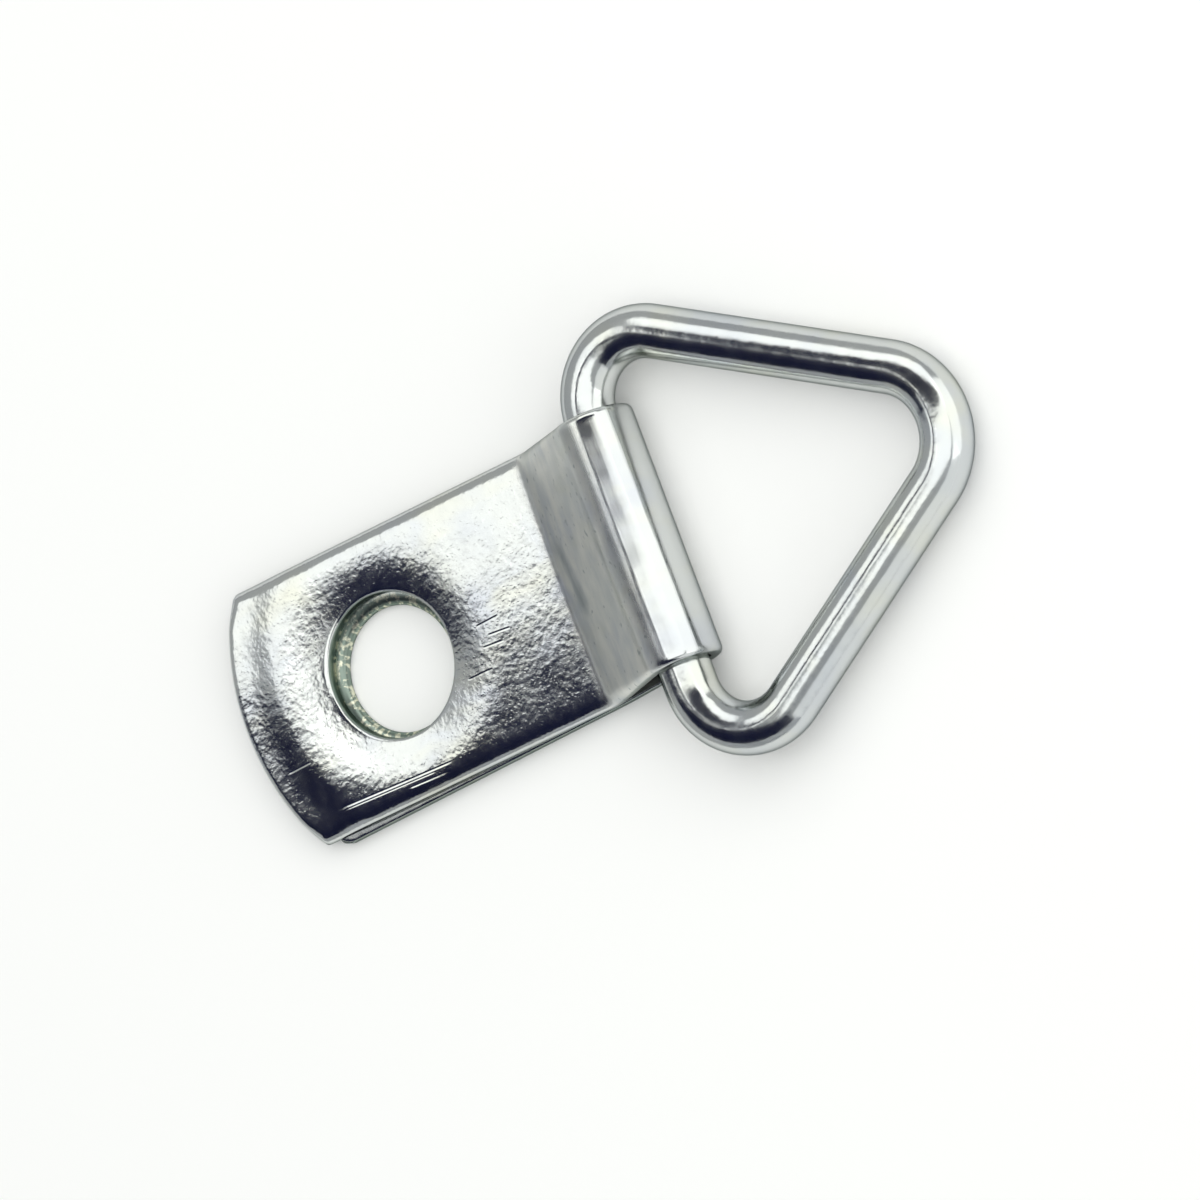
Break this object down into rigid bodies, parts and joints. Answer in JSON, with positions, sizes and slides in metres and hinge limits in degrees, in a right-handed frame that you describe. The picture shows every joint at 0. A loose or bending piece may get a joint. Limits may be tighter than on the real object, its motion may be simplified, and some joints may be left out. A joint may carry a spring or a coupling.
{
  "type": "strap hanger",
  "caption": "Strap hanger: a folded sheet-steel strap with one screw hole and a loose triangular wire ring that swings in the strap's barrel.",
  "frame": {"origin": "on the screw hole's axis at the back of the strap, where the strap lies on what it is screwed to", "axes": "+X along the strap towards the ring, +Y across the strap, +Z out of the surface that the strap is screwed to"},
  "size_m": [0.033, 0.0172, 0.0031],
  "materials": {
    "strap_steel": "bright zinc plate on rolled sheet, fine orange-peel texture, light scratches",
    "ring_steel": "bright zinc plate on drawn wire, glossy, rubbed along one side"
  },
  "bodies": {
    "strap": {"strap": "strap_steel"},
    "ring": {"ring": "ring_steel"}
  },
  "joints": [
    {"name": "ring_swing", "type": "hinge", "parent": "strap", "child": "ring", "pos_m": [0.0119, 0, 0.00155], "axis": [0, -1, 0], "range_deg": [-150, 170]}
  ]
}
